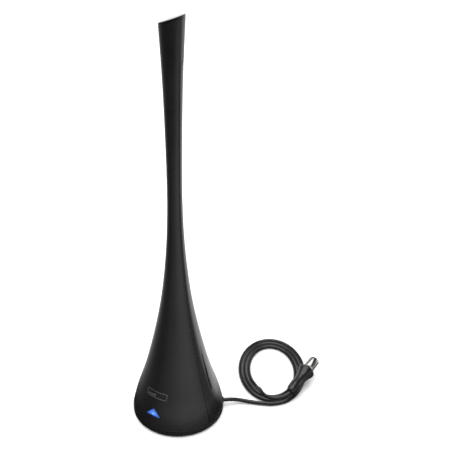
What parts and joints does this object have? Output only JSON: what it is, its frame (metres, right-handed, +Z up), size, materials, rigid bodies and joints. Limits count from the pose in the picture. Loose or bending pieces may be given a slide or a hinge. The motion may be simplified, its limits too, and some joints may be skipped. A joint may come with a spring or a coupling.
{
  "type": "indoor television aerial",
  "caption": "Slim black vase-shaped amplified indoor aerial with slanted top, weighted round base, blue indicator, coiled coaxial cable and plug.",
  "frame": {"origin": "centre of the base on the surface it stands on", "axes": "+Z up along the column, -Y towards the front with the indicator, +X roughly towards the high side of the slanted top"},
  "size_m": [0.1187, 0.1606, 0.3556],
  "materials": {
    "satin_black": "satin",
    "gloss_black": "high gloss",
    "lamp_blue": "translucent, lit from inside",
    "clear_plastic": "clear",
    "rubber": "matte",
    "zinc_steel": "zinc plated",
    "cast_weight": "as cast",
    "board_green": "solder mask",
    "copper": "bare copper",
    "tinplate": "tinned",
    "component": "matte",
    "foam": "closed-cell foam",
    "cable_black": "semi-gloss jacket",
    "nickel": "nickel plated",
    "nylon": "natural"
  },
  "bodies": {
    "root": {"front_shell": "satin_black", "rear_shell": "gloss_black", "top_cap": "gloss_black", "lamp_window": "lamp_blue", "base_tray": "gloss_black", "foot_pad_1": "rubber", "foot_pad_2": "rubber", "foot_pad_3": "rubber", "foot_pad_4": "rubber", "base_screw_1": "zinc_steel", "base_screw_2": "zinc_steel", "base_screw_3": "zinc_steel", "base_screw_4": "zinc_steel", "ballast_weight": "cast_weight", "ballast_screw": "zinc_steel", "amplifier_board": "board_green", "board_screw_1": "zinc_steel", "board_screw_2": "zinc_steel", "board_screw_3": "zinc_steel", "shield_can": "tinplate", "amplifier_chip": "component", "output_capacitor": "nylon", "filter_coil": "copper", "board_socket": "nylon", "lamp_led": "clear_plastic", "light_guide": "clear_plastic", "element_board": "board_green", "lower_arm": "copper", "upper_arm": "copper", "lower_spacer": "foam", "upper_spacer": "foam", "cable_gland": "rubber", "cable_clamp": "nylon", "clamp_screw_1": "zinc_steel", "clamp_screw_2": "zinc_steel", "inner_lead": "cable_black", "cable_lead": "cable_black", "cable_coil": "cable_black", "cable_tail": "cable_black", "plug_body": "gloss_black", "plug_sleeve": "nickel", "plug_insulator": "nylon", "plug_pin": "nickel", "plug_ferrule": "nickel"}
  },
  "joints": []
}
